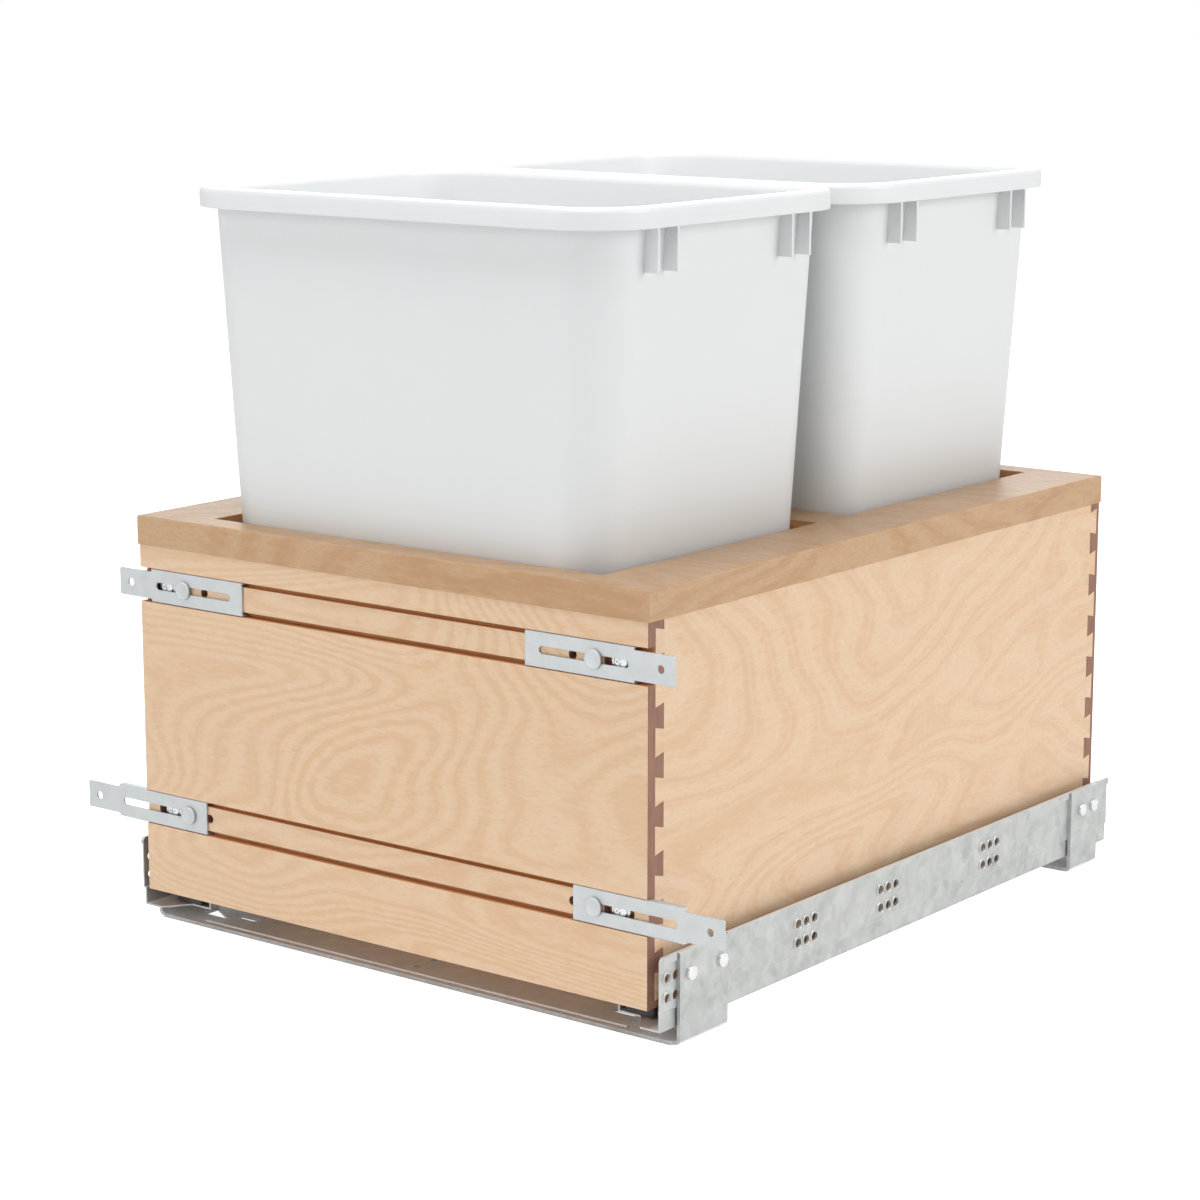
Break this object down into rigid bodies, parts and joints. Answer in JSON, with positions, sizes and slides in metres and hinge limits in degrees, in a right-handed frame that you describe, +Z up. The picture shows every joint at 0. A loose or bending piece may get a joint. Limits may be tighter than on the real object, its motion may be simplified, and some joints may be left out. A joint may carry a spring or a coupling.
{
  "type": "pull out trash cabinet",
  "caption": "Pull-out waste unit: dovetailed drawer box with framed top and lift-out bins on full-extension undermount runners, floor brackets and adjustable door brackets.",
  "frame": {"origin": "on the cabinet floor, in the middle of the closed unit's bounding box", "axes": "+X to the unit's right as seen from the front, +Y from the front to the back, +Z up"},
  "size_m": [0.5232, 0.5378, 0.4893],
  "materials": {
    "maple_ply": "clear-lacquered maple veneer plywood, end grain brown",
    "maple_frame": "clear-lacquered maple veneer, bare edges",
    "zinc_sheet": "galvanised sheet with fine spangle",
    "bracket_steel": "satin zinc-plated sheet",
    "bin_plastic": "white satin moulded plastic",
    "dark_plastic": "dark grey moulded plastic",
    "nylon": "natural nylon",
    "bright_zinc": "bright zinc-plated steel"
  },
  "bodies": {
    "base": {"front_floor_bracket": "zinc_sheet", "rear_floor_bracket": "zinc_sheet", "left_cabinet_runner": "zinc_sheet", "right_cabinet_runner": "zinc_sheet", "bracket_rivets": "bright_zinc", "left_soft_close_damper": "dark_plastic", "right_soft_close_damper": "dark_plastic"},
    "middle_slides": {"left_middle_slide": "zinc_sheet", "right_middle_slide": "zinc_sheet"},
    "lower_cages": {"left_lower_roller_cage": "nylon", "right_lower_roller_cage": "nylon", "lower_rollers": "nylon"},
    "upper_cages": {"left_upper_roller_cage": "nylon", "right_upper_roller_cage": "nylon", "upper_rollers": "nylon"},
    "drawer": {"front_panel": "maple_ply", "back_panel": "maple_ply", "left_side_panel": "maple_ply", "right_side_panel": "maple_ply", "bottom_panel": "maple_ply", "top_frame": "maple_frame", "left_drawer_runner": "zinc_sheet", "right_drawer_runner": "zinc_sheet", "left_rear_hook": "zinc_sheet", "right_rear_hook": "zinc_sheet", "clamp_knobs": "bright_zinc", "pocket_screws": "bright_zinc", "left_clip_body": "dark_plastic", "right_clip_body": "dark_plastic", "clip_pins": "bright_zinc"},
    "left_lever": {"left_clip_lever": "dark_plastic"},
    "right_lever": {"right_clip_lever": "dark_plastic"},
    "upper_left_bracket": {"upper_left_door_bracket": "bracket_steel"},
    "upper_right_bracket": {"upper_right_door_bracket": "bracket_steel"},
    "lower_left_bracket": {"lower_left_door_bracket": "bracket_steel"},
    "lower_right_bracket": {"lower_right_door_bracket": "bracket_steel"},
    "front_bin": {"front_bin": "bin_plastic"},
    "rear_bin": {"rear_bin": "bin_plastic"}
  },
  "joints": [
    {"name": "drawer_slide", "type": "slide", "parent": "base", "child": "drawer", "axis": [0, -1, 0], "range_m": [0, 0.51]},
    {"name": "middle_slides_travel", "type": "slide", "parent": "base", "child": "middle_slides", "axis": [0, -1, 0], "range_m": [0, 0.255]},
    {"name": "lower_cages_travel", "type": "slide", "parent": "base", "child": "lower_cages", "axis": [0, -1, 0], "range_m": [0, 0.1275]},
    {"name": "upper_cages_travel", "type": "slide", "parent": "base", "child": "upper_cages", "axis": [0, -1, 0], "range_m": [0, 0.3825]},
    {"name": "left_lever_hinge", "type": "hinge", "parent": "drawer", "child": "left_lever", "pos_m": [-0.16539, -0.21475, 0.0222], "axis": [0, 0, 1], "range_deg": [0, 6], "stiffness_Nm_per_rad": 0.4, "springref_deg": -5.73},
    {"name": "right_lever_hinge", "type": "hinge", "parent": "drawer", "child": "right_lever", "pos_m": [0.16539, -0.21475, 0.0222], "axis": [0, 0, -1], "range_deg": [0, 6], "stiffness_Nm_per_rad": 0.4, "springref_deg": -5.73},
    {"name": "upper_left_bracket_slide", "type": "slide", "parent": "drawer", "child": "upper_left_bracket", "axis": [-1, 0, 0], "range_m": [-0.0229, 0.039]},
    {"name": "upper_right_bracket_slide", "type": "slide", "parent": "drawer", "child": "upper_right_bracket", "axis": [1, 0, 0], "range_m": [-0.0229, 0.039]},
    {"name": "lower_left_bracket_slide", "type": "slide", "parent": "drawer", "child": "lower_left_bracket", "axis": [-1, 0, 0], "range_m": [-0.0589, 0.003]},
    {"name": "lower_right_bracket_slide", "type": "slide", "parent": "drawer", "child": "lower_right_bracket", "axis": [1, 0, 0], "range_m": [-0.0589, 0.003]},
    {"name": "front_bin_lift", "type": "slide", "parent": "drawer", "child": "front_bin", "axis": [0, 0, 1], "range_m": [0, 0.24]},
    {"name": "rear_bin_lift", "type": "slide", "parent": "drawer", "child": "rear_bin", "axis": [0, 0, 1], "range_m": [0, 0.24]}
  ],
  "couplings": [
    {"joint": "middle_slides_travel", "follows": "drawer_slide", "ratio": 0.5},
    {"joint": "lower_cages_travel", "follows": "drawer_slide", "ratio": 0.25},
    {"joint": "upper_cages_travel", "follows": "drawer_slide", "ratio": 0.75}
  ]
}
